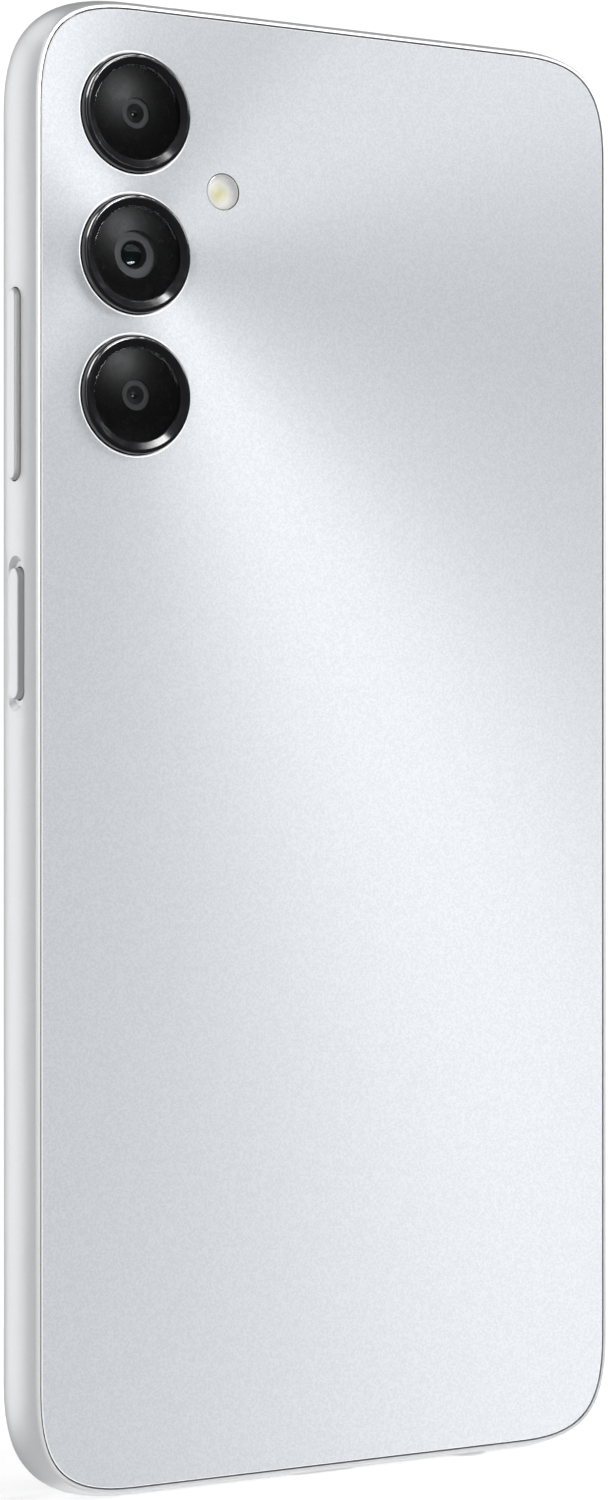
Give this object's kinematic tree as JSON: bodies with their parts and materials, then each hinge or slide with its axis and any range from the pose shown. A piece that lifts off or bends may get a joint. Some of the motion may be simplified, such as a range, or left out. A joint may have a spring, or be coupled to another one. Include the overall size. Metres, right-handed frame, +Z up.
{
  "type": "smartphone",
  "caption": "Slab smartphone with a barrel-shaped side frame, an inset pearl back, round rear cameras in a column, side keys, a notched display and a card tray.",
  "frame": {"origin": "middle of the bottom edge: centre of the bottom of the body's bounding box", "axes": "+Z up the phone from the charging port to the earpiece, +Y out of the back through the rear cameras, -Y out of the display, +X towards the side with the volume and power keys"},
  "size_m": [0.0783, 0.0098, 0.168],
  "materials": {
    "pearl_cover": "pearl silver lacquer with a fine metallic grain, clear coated",
    "silver_frame": "satin silver lacquer, polished rim",
    "silver_keys": "satin silver lacquer",
    "ring_black": "gloss black",
    "lens_cover_glass": "smoked clear glass",
    "display_glass": "black printed behind clear glass",
    "lens_glass": "coated lens glass",
    "camera_black": "moulded black",
    "flash_diffuser": "milky clear moulding",
    "flash_phosphor": "yellow phosphor",
    "adhesive": "foam adhesive",
    "mid_plate_metal": "die cast, bead blasted",
    "lcd_glass": "dark polarised glass",
    "backlight_white": "white reflector film",
    "mesh_dark": "dark woven mesh",
    "circuit_board": "solder mask",
    "shield_steel": "tinned sheet",
    "battery_pouch": "foil pouch in a dark film",
    "flex_amber": "polyimide film",
    "coax_black": "jacketed thin coax",
    "moulded_dark": "glass-filled moulding",
    "component_grey": "packaged component",
    "seal_rubber": "silicone",
    "diaphragm_film": "formed film",
    "rotor_weight": "sintered heavy alloy",
    "screw_steel": "black zinc"
  },
  "bodies": {
    "phone": {"back_cover": "pearl_cover", "side_frame": "silver_frame", "camera_ring_top": "ring_black", "camera_ring_middle": "ring_black", "camera_ring_bottom": "ring_black", "lens_cover_top": "lens_cover_glass", "lens_cover_middle": "lens_cover_glass", "lens_cover_bottom": "lens_cover_glass", "cover_glass": "display_glass", "upper_camera_lens": "lens_glass", "lower_camera_lens": "lens_glass", "front_camera_lens": "lens_glass", "main_camera": "camera_black", "upper_camera": "camera_black", "lower_camera": "camera_black", "front_camera": "camera_black", "flash_lens": "flash_diffuser", "flash_led": "flash_phosphor", "back_cover_adhesive": "adhesive", "display_adhesive": "adhesive", "battery_tape": "adhesive", "mid_plate": "mid_plate_metal", "lcd_panel": "lcd_glass", "backlight_unit": "backlight_white", "earpiece_mesh": "mesh_dark", "speaker_mesh": "mesh_dark", "main_board": "circuit_board", "sub_board": "circuit_board", "board_shields": "shield_steel", "sim_reader": "shield_steel", "usb_receptacle": "shield_steel", "vibration_motor": "shield_steel", "battery": "battery_pouch", "battery_flex": "flex_amber", "main_flex": "flex_amber", "side_key_flex": "flex_amber", "coax_cable": "coax_black", "upper_inner_cover": "moulded_dark", "lower_inner_cover": "moulded_dark", "headphone_jack": "moulded_dark", "loudspeaker": "moulded_dark", "earpiece_speaker": "moulded_dark", "usb_tongue": "moulded_dark", "bottom_microphone": "component_grey", "top_microphone": "component_grey", "volume_up_switch": "component_grey", "volume_down_switch": "component_grey", "power_switch": "component_grey", "upper_screws": "screw_steel", "lower_screws": "screw_steel"},
    "volume_rocker": {"volume_key": "silver_keys"},
    "power_button": {"power_key": "silver_keys", "fingerprint_sensor": "component_grey"},
    "card_tray": {"sim_tray": "silver_keys", "sim_tray_seal": "seal_rubber"},
    "focus_barrel": {"main_lens_barrel": "camera_black", "main_camera_lens": "lens_glass"},
    "vibration_weight": {"vibration_rotor": "rotor_weight"},
    "speaker_cone": {"speaker_diaphragm": "diaphragm_film"}
  },
  "joints": [
    {"name": "volume_rock", "type": "hinge", "parent": "phone", "child": "volume_rocker", "pos_m": [0.0365, 0.0005, 0.1244], "axis": [0, 1, 0], "range_deg": [-1.5, 1.5], "stiffness_Nm_per_rad": 0.4},
    {"name": "power_press", "type": "slide", "parent": "phone", "child": "power_button", "axis": [-1, 0, 0], "range_m": [0, 0.0002], "stiffness_N_per_m": 3000},
    {"name": "tray_slide", "type": "slide", "parent": "phone", "child": "card_tray", "axis": [-1, 0, 0], "range_m": [0, 0.0375]},
    {"name": "focus_travel", "type": "slide", "parent": "phone", "child": "focus_barrel", "axis": [0, 1, 0], "range_m": [0, 0.00025], "stiffness_N_per_m": 200},
    {"name": "rotor_spin", "type": "hinge", "parent": "phone", "child": "vibration_weight", "pos_m": [-0.029, 0, 0.0122], "axis": [0, 1, 0], "continuous": true},
    {"name": "cone_travel", "type": "slide", "parent": "phone", "child": "speaker_cone", "axis": [0, 1, 0], "range_m": [-0.00015, 0.00015], "stiffness_N_per_m": 600}
  ]
}
